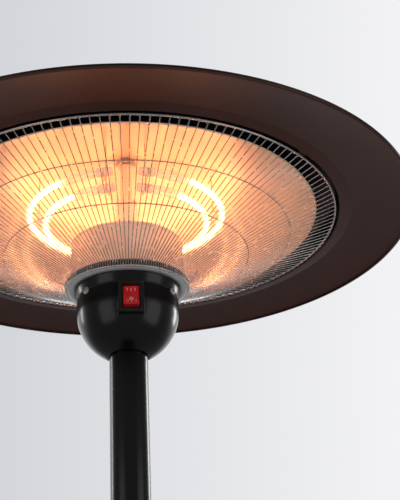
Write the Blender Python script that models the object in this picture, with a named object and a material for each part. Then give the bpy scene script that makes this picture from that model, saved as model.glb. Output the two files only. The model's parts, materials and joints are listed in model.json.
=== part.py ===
"""Table-top electric patio heater: a wide hat over a ring-lamp head, on a pole and a weighted round base.

Metres, +Z up. The origin is the middle of the foot ring's underside. The front, with the switch, faces -Y.
Heights of the head are given from the hat's rim, and angles round the pole are counted from the front.
"""
import math

import bmesh
import bpy
from mathutils import Matrix, Vector

# Driving dimensions
GAP = 0.0003                 # kept between touching pieces
RIM_HEIGHT = 0.795           # hat rim above the ground
RIM_RADIUS = 0.295
POLE_RADIUS = 0.019
POLE_WALL = 0.0012
POLE_JOINT_HEIGHT = 0.360    # where the two pole sections meet
BOWL_RADIUS = 0.051
BOWL_WALL = 0.002
DRUM_RADIUS = 0.057
HUB_RADIUS = 0.0622
GUARD_RADIUS = 0.2162
REFLECTOR_RADIUS = 0.1965
LAMP_OUTER = (0.100, 0.016)  # ring radius and height of the tube's centre line
LAMP_INNER = (0.0835, 0.007)
LAMP_TUBE = 0.005
LAMP_TURN = -3.7             # degrees the lamps are turned from the front
BASE_RADIUS = 0.150
WEIGHT_RADIUS = 0.142
GUARD_BARS = 32
SIDE_LEGS = (54.5, 180, 305.5)  # angles of the bowl's screws and frame legs
SWITCH_HEIGHT = -0.0947
SWITCH_FACE = 0.0539         # front face of the switch's flange, from the axis
ROCKER_PIVOT = 0.0477
ROCKER_HALF_TRAVEL = 11      # degrees each side of level


def material(name, colour, roughness, metallic=0.0):
    made = bpy.data.materials.new(name)
    made.use_nodes = True
    shader = made.node_tree.nodes["Principled BSDF"]
    shader.inputs["Base Color"].default_value = (*colour, 1.0)
    shader.inputs["Roughness"].default_value = roughness
    shader.inputs["Metallic"].default_value = metallic
    return made


def add_object(name, mesh_builder, look, smooth=True):
    """Makes a mesh from a finished bmesh, faces it outward and links it to the scene."""
    bmesh.ops.recalc_face_normals(mesh_builder, faces=mesh_builder.faces)
    mesh = bpy.data.meshes.new(name)
    mesh_builder.to_mesh(mesh)
    mesh_builder.free()
    mesh.materials.append(look)
    if smooth:
        mesh.shade_smooth()
        mesh.set_sharp_from_angle(angle=math.radians(35))
    made = bpy.data.objects.new(name, mesh)
    bpy.context.scene.collection.objects.link(made)
    return made


def turned(name, outline, look, segments=32, height=0.0, axis="Z"):
    """Turns a closed outline of (radius, height) points round an axis. A point at radius 0 becomes a pole."""
    build = bmesh.new()
    rings = []
    for radius, z in outline:
        if radius < 1e-7:
            rings.append([build.verts.new((0, 0, z))])
            continue
        steps = (2 * math.pi * k / segments for k in range(segments))
        rings.append([build.verts.new((radius * math.cos(a), radius * math.sin(a), z)) for a in steps])
    for one, two in zip(rings, rings[1:] + rings[:1]):
        for k in range(segments):
            corners = [one[k % len(one)], one[(k + 1) % len(one)], two[(k + 1) % len(two)], two[k % len(two)]]
            unique = list(dict.fromkeys(corners))
            if len(unique) > 2:
                build.faces.new(unique)
    if axis == "Y":
        bmesh.ops.transform(build, matrix=Matrix.Rotation(math.radians(-90), 4, "X"), verts=build.verts)
    if axis == "X":
        bmesh.ops.transform(build, matrix=Matrix.Rotation(math.radians(90), 4, "Y"), verts=build.verts)
    made = add_object(name, build, look)
    made.location.z = height
    return made


def prism(name, outline, depth, look):
    """Extrudes a closed outline of (x, z) points along Y, centred on y = 0."""
    build = bmesh.new()
    near = [build.verts.new((x, -depth / 2, z)) for x, z in outline]
    far = [build.verts.new((x, depth / 2, z)) for x, z in outline]
    build.faces.new(near)
    build.faces.new(far[::-1])
    for k in range(len(outline)):
        after = (k + 1) % len(outline)
        build.faces.new((near[k], far[k], far[after], near[after]))
    return add_object(name, build, look, smooth=False)


def block(name, low, high, look):
    """A box from its lowest to its highest corner."""
    build = bmesh.new()
    size = [b - a for a, b in zip(low, high)]
    middle = [(a + b) / 2 for a, b in zip(low, high)]
    bmesh.ops.create_cube(build, size=1.0, matrix=Matrix.Translation(middle) @ Matrix.Diagonal((*size, 1)))
    return add_object(name, build, look, smooth=False)


def ring_outline(outer, inner, bottom, top):
    return [(outer, bottom), (outer, top), (inner, top), (inner, bottom)]


def face_round(made, angle, radius=0.0, height=None):
    """Stands a piece at an angle from the front, with its local X pointing away from the pole."""
    turn = math.radians(angle)
    made.location.x = radius * math.sin(turn)
    made.location.y = -radius * math.cos(turn)
    if height is not None:
        made.location.z = height
    made.rotation_euler.z = turn - math.pi / 2
    return made


def cut(target, cutter, operation="DIFFERENCE"):
    cutter.hide_render = True
    cutter.display_type = "WIRE"
    step = target.modifiers.new(cutter.name, "BOOLEAN")
    step.operation = operation
    step.solver = "EXACT"
    step.object = cutter


def reflector_height(radius):
    """Underside of the shallow dish above the lamps, measured from the rim."""
    share = radius / REFLECTOR_RADIUS
    return 0.0885 - 0.071 * share - 0.009 * share ** 2


def canopy_inside_height(radius):
    """Underside of the hat's crown, measured from the rim."""
    return 0.0305 + (0.215 - radius) * (0.0681 / 0.153)


for old in list(bpy.data.objects):
    bpy.data.objects.remove(old, do_unlink=True)

black_coat = material("black_powder_coat", (0.035, 0.027, 0.025), 0.55)
black_gloss = material("black_gloss_enamel", (0.012, 0.012, 0.014), 0.15)
bright_reflector = material("polished_aluminium", (0.88, 0.86, 0.84), 0.22, 1.0)
chrome = material("chrome_plate", (0.80, 0.80, 0.82), 0.08, 1.0)
zinc = material("zinc_plated_steel", (0.60, 0.60, 0.62), 0.35, 1.0)
quartz = material("lit_quartz", (1.0, 0.82, 0.55), 0.1)
ceramic = material("steatite_ceramic", (0.85, 0.80, 0.74), 0.6)
black_plastic = material("black_nylon", (0.02, 0.02, 0.02), 0.4)
red_plastic = material("red_rocker", (0.60, 0.01, 0.02), 0.25)
iron = material("cast_iron", (0.10, 0.10, 0.10), 0.7, 1.0)
rubber = material("black_rubber", (0.02, 0.02, 0.02), 0.85)
brass = material("brass", (0.78, 0.60, 0.30), 0.3, 1.0)


# Hat: a brim with a rolled edge, a lip and a wall round the lamp opening, then a cone to a flat crown
hat_under = [(0.2916, 0.0002), (0.2335, 0.0064), (0.2216, 0.0050), (0.2203, 0.0062), (0.2203, 0.027),
             (0.215, 0.0305), (0.062, 0.0986), (0.0043, 0.0990)]
hat_over = [(0.0043, 0.1002), (0.0624, 0.0999), (0.2157, 0.0317), (0.2215, 0.0275), (0.2215, 0.0070),
            (0.2222, 0.0064), (0.2337, 0.0077), (0.2920, 0.0024)]
rolled_edge = [(0.2938, 0.0024), (RIM_RADIUS, 0.0013), (RIM_RADIUS, -0.0005), (0.2938, -0.0016), (0.2922, -0.0012)]
turned("canopy", hat_under + hat_over + rolled_edge, black_coat, 48, RIM_HEIGHT)
turned("canopy_seal", ring_outline(0.014, 0.0043, 0.1005, 0.1020), rubber, 16, RIM_HEIGHT)
turned("canopy_washer", ring_outline(0.012, 0.0043, 0.1023, 0.1038), zinc, 16, RIM_HEIGHT)
turned("canopy_bolt", [(0.0, 0.062), (0.0033, 0.062), (0.0039, 0.063), (0.0039, 0.1041),
                       (0.0075, 0.1041), (0.0075, 0.1085), (0.0055, 0.1098), (0.0, 0.1102)], zinc, 12, RIM_HEIGHT)
turned("crown_spacer", ring_outline(0.0090, 0.0043, 0.0898, 0.0987), zinc, 12, RIM_HEIGHT)

# Reflector: a thin dish with a turned-over edge, held to the hat by three tilted spacers
dish_radii = [REFLECTOR_RADIUS, 0.150, 0.100, 0.050, 0.0066]
dish_wall = 0.0009
under_dish = [(radius, reflector_height(radius)) for radius in dish_radii]
over_dish = [(radius, reflector_height(radius) + dish_wall) for radius in reversed(dish_radii)]
dish_lip = [(0.1975, 0.0098), (0.1975, 0.0080)]
turned("reflector", under_dish + over_dish + dish_lip, bright_reflector, 48, RIM_HEIGHT)
turned("reflector_nut", ring_outline(0.0115, 0.0073, 0.0780, 0.0835), zinc, 6, RIM_HEIGHT)
spacer_radius = 0.140
spacer_low = reflector_height(spacer_radius) + dish_wall
spacer_high = canopy_inside_height(spacer_radius)
spacer_tilt = math.atan(0.43)     # the mean slope of the dish and the hat there
spacer_length = (spacer_high - spacer_low) * math.cos(spacer_tilt) - 4 * GAP
for number, angle in enumerate((0, 120, 240), 1):
    spacer = turned(f"reflector_spacer_{number}", [(0.0, -spacer_length / 2), (0.0035, -spacer_length / 2),
                                                   (0.0035, spacer_length / 2), (0.0, spacer_length / 2)], zinc, 10)
    face_round(spacer, angle, spacer_radius, RIM_HEIGHT + (spacer_low + spacer_high) / 2)
    spacer.rotation_euler.y = spacer_tilt


# Lamps: two open quartz rings with a ceramic ferrule on each end
def lamp_ring(name, ring, open_angle, steps=28, sides=8):
    """A round tube swept along a circle, from one side of the front opening round to the other."""
    radius, height = ring
    build = bmesh.new()
    loops = []
    for k in range(steps + 1):
        turn = math.radians(LAMP_TURN + open_angle + (360 - 2 * open_angle) * k / steps)
        loop = []
        for side in range(sides):
            a = 2 * math.pi * side / sides
            reach = radius + LAMP_TUBE * math.cos(a)
            loop.append(build.verts.new((reach * math.sin(turn), -reach * math.cos(turn), LAMP_TUBE * math.sin(a))))
        loops.append(loop)
    for one, two in zip(loops, loops[1:]):
        for k in range(sides):
            after = (k + 1) % sides
            build.faces.new((one[k], one[after], two[after], two[k]))
    build.faces.new(loops[0])
    build.faces.new(loops[-1][::-1])
    made = add_object(name, build, quartz)
    made.location.z = RIM_HEIGHT + height


ferrule_length = 0.016
ferrule_radius = 0.0045
for name, ring, open_angle in (("outer", LAMP_OUTER, 16.5), ("inner", LAMP_INNER, 18.0)):
    lamp_ring(f"lamp_{name}", ring, open_angle)
    for side, sign in (("left", -1), ("right", 1)):
        turn = math.radians(open_angle)
        reach = ferrule_length / 2 + GAP
        ferrule = turned(f"lamp_ferrule_{name}_{side}",
                         [(0.0, -ferrule_length / 2), (ferrule_radius, -ferrule_length / 2),
                          (ferrule_radius, ferrule_length / 2), (0.0, ferrule_length / 2)], ceramic, 10, axis="X")
        seat = Vector((sign * (ring[0] * math.sin(turn) - reach * math.cos(turn)),
                       -ring[0] * math.cos(turn) - reach * math.sin(turn), RIM_HEIGHT + ring[1]))
        group_turn = math.radians(LAMP_TURN)
        ferrule.location = Matrix.Rotation(group_turn, 3, "Z") @ seat
        ferrule.rotation_euler.z = sign * turn + group_turn


def lamp_bracket(name, angle, width):
    """A strip hanging from the reflector, with one hook out under the outer tube and one in under the inner."""
    stem = (LAMP_OUTER[0] + LAMP_INNER[0]) / 2
    half = 0.0006
    under = GAP + LAMP_TUBE
    outer_reach = LAMP_OUTER[0] + under + GAP
    inner_reach = LAMP_INNER[0] - under - GAP
    outer_floor = LAMP_OUTER[1] - under
    inner_floor = LAMP_INNER[1] - under
    sheet = 0.001
    foot_out = stem + 0.006
    foot_in = stem - 0.006

    def under_reflector(radius):
        return reflector_height(radius) - 0.0006

    outline = [(stem + half, under_reflector(stem) - sheet), (stem + half, outer_floor), (outer_reach, outer_floor),
               (outer_reach, LAMP_OUTER[1]), (outer_reach + sheet, LAMP_OUTER[1]),
               (outer_reach + sheet, outer_floor - sheet), (stem + half, outer_floor - sheet),
               (stem + half, inner_floor - sheet), (inner_reach - sheet, inner_floor - sheet),
               (inner_reach - sheet, LAMP_INNER[1]), (inner_reach, LAMP_INNER[1]), (inner_reach, inner_floor),
               (stem - half, inner_floor), (stem - half, under_reflector(stem) - sheet),
               (foot_in, under_reflector(foot_in) - sheet), (foot_in, under_reflector(foot_in)),
               (foot_out, under_reflector(foot_out)), (foot_out, under_reflector(foot_out) - sheet)]
    face_round(prism(name, outline, width, zinc), LAMP_TURN + angle, 0.0, RIM_HEIGHT)


lamp_bracket("end_bracket_left", -12, 0.006)
lamp_bracket("end_bracket_right", 12, 0.006)
for number, angle in enumerate((75, 180, 285), 1):
    lamp_bracket(f"lamp_clip_{number}", angle, 0.003)


# Guard: a perforated cone of radial bars and hoops, one welded piece
def guard_lattice(name, rows, bars, bar_width, thickness):
    """Rows of (radius, height, is_ring) bound bands round the cone. Cells exist on rings and along bars."""
    build = bmesh.new()
    columns = []
    for k in range(bars):
        middle = 2 * math.pi * (k + 0.5) / bars
        columns += [(middle, -0.5), (middle, 0.5)]
    count = len(columns)
    sheets = []
    for offset in (-thickness / 2, thickness / 2):
        sheet = []
        for radius, height, _ in rows:
            points = []
            for middle, side in columns:
                a = middle + side * bar_width / radius
                points.append(build.verts.new((radius * math.cos(a), radius * math.sin(a), height + offset)))
            sheet.append(points)
        sheets.append(sheet)
    low, high = sheets

    def solid(row, column):
        return 0 <= row < len(rows) - 1 and (rows[row][2] or column % 2 == 0)

    for row in range(len(rows) - 1):
        for column in range(count):
            if not solid(row, column):
                continue
            after = (column + 1) % count
            corners = [(row, column), (row, after), (row + 1, after), (row + 1, column)]
            build.faces.new([low[r][c] for r, c in corners])
            build.faces.new([high[r][c] for r, c in reversed(corners)])
            neighbours = [(row - 1, column), (row, after), (row + 1, column), (row, (column - 1) % count)]
            for side, (r, c) in enumerate(neighbours):
                if solid(r, c):
                    continue
                one = corners[side]
                two = corners[(side + 1) % 4]
                build.faces.new((low[one[0]][one[1]], low[two[0]][two[1]],
                                 high[two[0]][two[1]], high[one[0]][one[1]]))
    made = add_object(name, build, chrome, smooth=False)
    made.location.z = RIM_HEIGHT


def band(radius, height, width, slope):
    """The two edges of one hoop, and whether the band after each edge is solid all round."""
    return [(radius - width / 2, height - slope * width / 2, True),
            (radius + width / 2, height + slope * width / 2, False)]


guard_rows = ([(0.0598, -0.0590, True), (HUB_RADIUS, -0.0590, False)] + band(0.1245, -0.0322, 0.0024, 0.44)
              + band(0.1686, -0.0123, 0.0024, 0.42) + band(GUARD_RADIUS, 0.0052, 0.0024, 0.39))
guard_lattice("guard", guard_rows, GUARD_BARS, 0.0020, 0.0020)
clip_outline = [(0.2195, 0.0072), (0.2195, 0.0200), (0.2182, 0.0200), (0.2182, 0.0084), (0.2130, 0.0084),
                (0.2130, 0.0070), (0.2182, 0.0070)]
for number, angle in enumerate((45, 165, 285), 1):
    face_round(prism(f"guard_clip_{number}", clip_outline, 0.010, zinc), angle, 0.0, RIM_HEIGHT)
turned("guard_hub", [(HUB_RADIUS, -0.0655), (HUB_RADIUS, -0.0603), (0.0066, -0.0603), (0.0066, -0.0623),
                     (0.0608, -0.0623), (0.0608, -0.0655)], black_coat, 36, RIM_HEIGHT)
turned("trim_ring", [(0.0626, -0.0658), (0.0626, -0.0666), (0.0600, -0.0668), (0.0585, -0.0676),
                     (0.0560, -0.0680), (0.0542, -0.0674), (0.0536, -0.0668), (0.0500, -0.0668),
                     (0.0500, -0.0626), (0.0515, -0.0626), (0.0515, -0.0658)], chrome, 36, RIM_HEIGHT)

# Middle of the head: post, sleeve, polished drum over the wiring, terminal block
turned("centre_post", [(0.0140, -0.0660), (0.0140, -0.0626), (0.0060, -0.0626), (0.0060, 0.0895),
                       (0.0042, 0.0895), (0.0042, -0.0660)], zinc, 16, RIM_HEIGHT)
turned("post_sleeve", ring_outline(0.0115, 0.0064, -0.0147, 0.0340), bright_reflector, 16, RIM_HEIGHT)
drum_wall = 0.0009
turned("drum", [(0.0586, -0.0600), (DRUM_RADIUS, -0.0560), (DRUM_RADIUS, -0.0185), (0.0580, -0.0172),
                (DRUM_RADIUS, -0.0158), (0.0550, -0.0150), (0.0064, -0.0150), (0.0064, -0.0159),
                (0.0548, -0.0159), (DRUM_RADIUS - drum_wall, -0.0170), (DRUM_RADIUS - drum_wall, -0.0560),
                (0.0576, -0.0600)], bright_reflector, 30, RIM_HEIGHT)
block("terminal_block", (-0.016, 0.018, RIM_HEIGHT - 0.0600), (0.016, 0.034, RIM_HEIGHT - 0.0440), ceramic)
cutout = turned("thermal_cutout", [(0.0, -0.0700), (0.0080, -0.0700), (0.0080, -0.0640), (0.0050, -0.0626),
                                   (0.0, -0.0626)], black_plastic, 12)
cutout.location = (0.024, 0.020, RIM_HEIGHT)

# Bowl: a collar, a short wall and a half sphere, with a boss and a window for the switch
sphere_height = -0.091
inner_radius = BOWL_RADIUS - BOWL_WALL
outer_end = math.degrees(math.acos(0.0218 / BOWL_RADIUS))
inner_end = math.degrees(math.acos((POLE_RADIUS + 0.0005) / inner_radius))
arc_steps = 6


def arc(radius, end):
    """Points down a sphere from its widest circle to an angle below it."""
    turns = (math.radians(end * k / arc_steps) for k in range(arc_steps + 1))
    return [(radius * math.cos(a), sphere_height - radius * math.sin(a)) for a in turns]


bowl_bottom = sphere_height - BOWL_RADIUS * math.sin(math.radians(outer_end))
bowl_outline = ([(0.0530, -0.0671), (0.0508, -0.0758), (BOWL_RADIUS, -0.0772)] + arc(BOWL_RADIUS, outer_end)
                + [(POLE_RADIUS + 0.0005, bowl_bottom)] + arc(inner_radius, inner_end)[::-1]
                + [(inner_radius, -0.0760), (0.0512, -0.0671)])
bowl = turned("bowl", bowl_outline, black_gloss, 36, RIM_HEIGHT)
switch_z = RIM_HEIGHT + SWITCH_HEIGHT
boss = block("switch_boss_tool", (-0.0135, -0.0516, switch_z - 0.0165), (0.0135, -0.0440, switch_z + 0.0165),
             black_gloss)
cut(bowl, boss, "UNION")
window = block("switch_window_tool", (-0.0111, -0.0560, switch_z - 0.0143), (0.0111, -0.0300, switch_z + 0.0143),
               black_gloss)
cut(bowl, window)

# Frame inside the bowl: a flanged stub in the pole, three legs up to the hub, and the bowl's screws
flange_top = -0.1122
head_bracket = turned("head_bracket", [(0.0155, -0.1520), (0.0174, -0.1520), (0.0174, -0.1147), (0.0300, -0.1147),
                                       (0.0300, flange_top), (0.0155, flange_top)], zinc, 24, RIM_HEIGHT)
leg_outline = [(0.0220, flange_top + GAP), (0.0405, flange_top + GAP), (0.0475, -0.0920), (0.0475, -0.0626),
               (0.0460, -0.0626), (0.0460, -0.0917), (0.0397, -0.1104), (0.0220, -0.1104)]
screw_height = -0.0790
for number, angle in enumerate(SIDE_LEGS, 1):
    leg = face_round(prism(f"frame_leg_{number}", leg_outline, 0.012, zinc), angle, 0.0, RIM_HEIGHT)
    drill = turned(f"leg_drill_tool_{number}", [(0.0, 0.040), (0.0023, 0.040), (0.0023, 0.060), (0.0, 0.060)],
                   zinc, 12, axis="X")
    face_round(drill, angle, 0.0, RIM_HEIGHT + screw_height)
    cut(leg, drill)
    cut(bowl, drill)
    screw = turned(f"bowl_screw_{number}", [(0.0, 0.0430), (0.0020, 0.0430), (0.0020, 0.0514), (0.0038, 0.0514),
                                            (0.0038, 0.0525), (0.0025, 0.0535), (0.0, 0.0535)], chrome, 12, axis="X")
    face_round(screw, angle, 0.0, RIM_HEIGHT + screw_height)

# Switch: a flanged housing through the bowl's window, and a rocker on two pins
flange_back = SWITCH_FACE - 0.0020
housing = block("switch_housing", (-0.0125, -SWITCH_FACE, switch_z - 0.0157),
                (0.0125, -flange_back, switch_z + 0.0157), black_plastic)
body_tool = block("switch_body_tool", (-0.0108, -flange_back - 0.0005, switch_z - 0.0140),
                  (0.0108, -0.0300, switch_z + 0.0140), black_plastic)
cut(housing, body_tool, "UNION")
pocket = block("switch_pocket_tool", (-0.0081, -0.0600, switch_z - 0.0121), (0.0081, -0.0410, switch_z + 0.0121),
               black_plastic)
cut(housing, pocket)
pin_hole = turned("switch_pin_tool", [(0.0, -0.0094), (0.0015, -0.0094), (0.0015, 0.0094), (0.0, 0.0094)],
                  black_plastic, 12, axis="X")
pin_hole.location = (0.0, -ROCKER_PIVOT, switch_z)
cut(housing, pin_hole)

rocker_side = [(0.0066, 0.0105), (0.0053, 0.0), (0.0066, -0.0105), (0.0010, -0.0108), (-0.0025, -0.0060),
               (-0.0025, 0.0060), (0.0010, 0.0108)]
rocker = prism("rocker_button", rocker_side, 0.0152, red_plastic)
rocker_pin = turned("rocker_pin_tool", [(0.0, -0.0090), (0.0012, -0.0090), (0.0012, 0.0090), (0.0, 0.0090)],
                    red_plastic, 12, axis="Y")
rocker_pin.parent = rocker
cut(rocker, rocker_pin, "UNION")
rocker_hinge = bpy.data.objects.new("rocker_hinge", None)
bpy.context.scene.collection.objects.link(rocker_hinge)
rocker_hinge.location = (0.0, -ROCKER_PIVOT, switch_z)
rocker_hinge.rotation_euler = (math.radians(-ROCKER_HALF_TRAVEL), 0.0, 0.0)
rocker.parent = rocker_hinge
rocker.rotation_euler.z = -math.pi / 2

# Tip-over switch: an open-sided case on the flange and a pendulum hanging from its pin
tilt_x, tilt_y = -0.021, 0.013
case_floor = RIM_HEIGHT + flange_top + GAP
case_top = case_floor + 0.026
tilt_case = block("tilt_case", (tilt_x - 0.0095, tilt_y - 0.0075, case_floor),
                  (tilt_x + 0.0095, tilt_y + 0.0075, case_top), black_plastic)
case_tool = block("tilt_case_tool", (tilt_x - 0.0083, tilt_y - 0.0060, case_floor + 0.0015),
                  (tilt_x + 0.0083, tilt_y + 0.0090, case_top - 0.0015), black_plastic)
cut(tilt_case, case_tool)
pendulum_pivot = (tilt_x, tilt_y, case_top - 0.0045)
tilt_pin = turned("tilt_pin_tool", [(0.0, -0.0066), (0.0009, -0.0066), (0.0009, 0.0060), (0.0, 0.0060)],
                  black_plastic, 10, axis="Y")
tilt_pin.location = pendulum_pivot
cut(tilt_case, tilt_pin, "UNION")
# The pendulum is a ring on the pin, a neck and a round bob, cut from one sheet
ring_radius, neck, bob_radius, bob_drop = 0.0026, 0.0010, 0.0036, 0.0145
bob_side = [(neck, -0.0022)] + [
    (bob_radius * math.cos(a), -bob_drop + bob_radius * math.sin(a))
    for a in (math.radians(70 - 320 * k / 12) for k in range(13))] + [(-neck, -0.0022)]
top_side = [(ring_radius * math.cos(a), ring_radius * math.sin(a))
            for a in (math.radians(215 - 250 * k / 10) for k in range(11))]
pendulum = prism("tilt_pendulum", bob_side + top_side, 0.0060, brass)
pendulum.location = (tilt_x, tilt_y + 0.0010, pendulum_pivot[2])
eye_tool = turned("pendulum_eye_tool", [(0.0, -0.010), (0.0013, -0.010), (0.0013, 0.010), (0.0, 0.010)],
                  brass, 10, axis="Y")
eye_tool.location = pendulum_pivot
cut(pendulum, eye_tool)

# Pole: two tubes butted over an inner coupler, with a grub screw under the bowl and two behind the joint
pole_bore = POLE_RADIUS - POLE_WALL
pole_top = RIM_HEIGHT - 0.1150
weight_top = 0.0163
flange_face = weight_top + GAP + 0.0040
upper = turned("upper_pole", ring_outline(POLE_RADIUS, pole_bore, POLE_JOINT_HEIGHT + GAP / 2, pole_top),
               black_gloss, 24)
lower = turned("lower_pole", ring_outline(POLE_RADIUS, pole_bore, flange_face + GAP, POLE_JOINT_HEIGHT - GAP / 2),
               black_gloss, 24)
coupler = turned("pole_coupler", ring_outline(0.0174, 0.0155, POLE_JOINT_HEIGHT - 0.040, POLE_JOINT_HEIGHT + 0.040),
                 zinc, 24)
grub_screws = (("head_screw", 0, RIM_HEIGHT - 0.1470, (upper, head_bracket)),
               ("coupler_screw_upper", 180, POLE_JOINT_HEIGHT + 0.020, (upper, coupler)),
               ("coupler_screw_lower", 180, POLE_JOINT_HEIGHT - 0.020, (lower, coupler)))
for name, angle, height, walls in grub_screws:
    drill = turned(f"{name}_tool", [(0.0, 0.0100), (0.0026, 0.0100), (0.0026, 0.0220), (0.0, 0.0220)],
                   zinc, 12, axis="X")
    face_round(drill, angle, 0.0, height)
    for wall in walls:
        cut(wall, drill)
    screw = turned(name, [(0.0, 0.0135), (0.0023, 0.0135), (0.0023, 0.0184), (0.0, 0.0184)], zinc, 12, axis="X")
    face_round(screw, angle, 0.0, height)

# Base: foot ring, iron weight with a cable groove, bolted flange, domed cover and cable gland
turned("foot_ring", ring_outline(0.1440, 0.1200, 0.0, 0.0040), rubber, 36)
weight = turned("base_weight", ring_outline(WEIGHT_RADIUS, 0.0120, 0.0043, weight_top), iron, 36)
groove = block("groove_tool", (-0.0090, 0.0050, 0.0055), (0.0090, 0.1600, 0.0400), iron)
cut(weight, groove)
flange = turned("base_flange", [(0.0155, weight_top + GAP), (0.0450, weight_top + GAP), (0.0450, flange_face),
                                (0.0174, flange_face), (0.0174, 0.0700), (0.0155, 0.0700)], zinc, 28)
for number, angle in enumerate((60, 300, 180), 1):
    radius = 0.0340
    drill_foot = weight_top - 0.0110
    drill = turned(f"flange_drill_tool_{number}", [(0.0, drill_foot), (0.0033, drill_foot), (0.0033, 0.0400),
                                                   (0.0, 0.0400)], zinc, 12)
    face_round(drill, angle, radius)
    cut(flange, drill)
    if angle != 180:
        cut(weight, drill)
    bolt_foot = weight_top - (0.0100 if angle != 180 else 0.0020)
    bolt = turned(f"flange_bolt_{number}", [(0.0, bolt_foot), (0.0030, bolt_foot), (0.0030, flange_face + GAP),
                                            (0.0055, flange_face + GAP), (0.0055, flange_face + 0.0042),
                                            (0.0, flange_face + 0.0042)], zinc, 12)
    face_round(bolt, angle, radius)

cover_over = [(BASE_RADIUS, 0.0045), (BASE_RADIUS, 0.0190), (0.1485, 0.0240), (0.1440, 0.0280), (0.1360, 0.0305),
              (0.1000, 0.0355), (0.0600, 0.0412), (0.0340, 0.0478), (0.0250, 0.0530), (0.0215, 0.0600),
              (0.0210, 0.0680)]
cover_wall = 0.0015
cover_under = [(0.0194, 0.0680), (0.0198, 0.0595), (0.0236, 0.0520), (0.0330, 0.0463), (0.0595, 0.0397),
               (0.0995, 0.0340), (0.1355, 0.0290), (0.1430, 0.0266), (0.1472, 0.0230),
               (BASE_RADIUS - cover_wall, 0.0185), (BASE_RADIUS - cover_wall, 0.0045)]
cover = turned("base_cover", cover_over + cover_under, black_gloss, 36)
gland_height = 0.0125
gland_hole = turned("gland_hole_tool", [(0.0, 0.1400), (0.0050, 0.1400), (0.0050, 0.1600), (0.0, 0.1600)],
                    black_gloss, 12, gland_height, axis="Y")
cut(cover, gland_hole)
turned("cable_gland", [(0.0045, 0.1415), (0.0045, 0.1506), (0.0070, 0.1506), (0.0070, 0.1550), (0.0055, 0.1575),
                       (0.0034, 0.1575), (0.0034, 0.1415)], black_plastic, 12, gland_height, axis="Y")
turned("gland_nut", ring_outline(0.0082, 0.0057, 0.1435, 0.1475), black_plastic, 6, gland_height, axis="Y")
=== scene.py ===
# Table-top patio heater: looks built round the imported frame. Metres, +Z up, the switch faces -Y.
import json
import math
import bmesh
import bpy
import numpy as np
from mathutils import Matrix, Vector


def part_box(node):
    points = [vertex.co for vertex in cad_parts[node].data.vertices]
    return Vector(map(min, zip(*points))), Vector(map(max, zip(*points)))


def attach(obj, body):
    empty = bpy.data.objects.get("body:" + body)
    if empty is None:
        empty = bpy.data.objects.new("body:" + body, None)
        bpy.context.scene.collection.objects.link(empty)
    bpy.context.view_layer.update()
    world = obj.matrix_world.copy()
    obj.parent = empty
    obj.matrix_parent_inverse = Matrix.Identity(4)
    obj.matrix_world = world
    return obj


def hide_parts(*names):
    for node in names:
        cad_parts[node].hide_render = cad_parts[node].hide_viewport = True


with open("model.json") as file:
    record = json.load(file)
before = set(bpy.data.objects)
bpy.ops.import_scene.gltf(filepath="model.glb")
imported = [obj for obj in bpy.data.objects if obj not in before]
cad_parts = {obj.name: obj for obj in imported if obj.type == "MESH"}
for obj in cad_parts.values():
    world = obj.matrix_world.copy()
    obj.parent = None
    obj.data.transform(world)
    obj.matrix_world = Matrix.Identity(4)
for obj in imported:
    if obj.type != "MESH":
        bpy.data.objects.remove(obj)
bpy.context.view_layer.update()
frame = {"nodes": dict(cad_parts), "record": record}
nodes = frame["nodes"]
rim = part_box("canopy")[0].z + 0.0016   # the rolled edge hangs 1.6 mm below the rim plane
headTurn = math.radians(-3.7)   # the lamps and the guard are turned this far from the switch
mm = 0.001
print("frame loaded, rim at", round(rim, 4))


# Quads between the neighbours of a rows by columns grid; a closed direction joins its end to its start
def gridFaces(rows, columns, closeRows, closeColumns):
    row, column = np.meshgrid(np.arange(rows if closeRows else rows - 1),
                              np.arange(columns if closeColumns else columns - 1), indexing="ij")
    nextRow, nextColumn = (row + 1) % rows, (column + 1) % columns
    corners = [row * columns + column, row * columns + nextColumn,
               nextRow * columns + nextColumn, nextRow * columns + column]
    return np.stack(corners, -1).reshape(-1, 4)


# Makes the mesh object: doubles merged, faces outward, smooth except over sharp edges. Then it rides its
# body and stands in for its nodes
def makePiece(name, points, faces, look, stands=(), body="frame", sharp=38):
    mesh = bpy.data.meshes.new(name)
    mesh.from_pydata(np.asarray(points, float).reshape(-1, 3).tolist(), [],
                     [list(map(int, f)) for f in faces])
    work = bmesh.new()
    work.from_mesh(mesh)
    bmesh.ops.remove_doubles(work, verts=work.verts, dist=1e-6)
    bmesh.ops.recalc_face_normals(work, faces=work.faces)
    work.to_mesh(mesh)
    work.free()
    mesh.shade_smooth()
    mesh.set_sharp_from_angle(angle=math.radians(sharp))
    piece = bpy.data.objects.new(name, mesh)
    bpy.context.scene.collection.objects.link(piece)
    mesh.materials.append(look)
    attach(piece, body)
    if stands:
        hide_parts(*stands)
    return piece


# Rounds each corner (x, y, radius) of an outline with an arc that touches both of its sides
def softOutline(corners, closed=True, steps=4):
    made, count = [], len(corners)
    for k, (x, y, radius) in enumerate(corners):
        here = np.array((x, y), float)
        if radius == 0 or (not closed and k in (0, count - 1)):
            made.append(here)
            continue
        back = np.array(corners[k - 1][:2], float) - here
        ahead = np.array(corners[(k + 1) % count][:2], float) - here
        backLength, aheadLength = np.linalg.norm(back), np.linalg.norm(ahead)
        back, ahead = back / backLength, ahead / aheadLength
        half = 0.5 * math.acos(float(np.clip(back @ ahead, -1, 1)))
        turn = math.pi - 2 * half
        if turn < 0.03:
            made.append(here)
            continue
        reach = min(radius / math.tan(half), 0.48 * backLength, 0.48 * aheadLength)
        middle = here + (back + ahead) / np.linalg.norm(back + ahead) * reach / math.cos(half)
        start, end = here + back * reach - middle, here + ahead * reach - middle
        for share in np.linspace(0, 1, steps + 1):
            made.append(middle + (math.sin((1 - share) * turn) * start + math.sin(share * turn) * end)
                        / math.sin(turn))
    return np.array(made)


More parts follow.
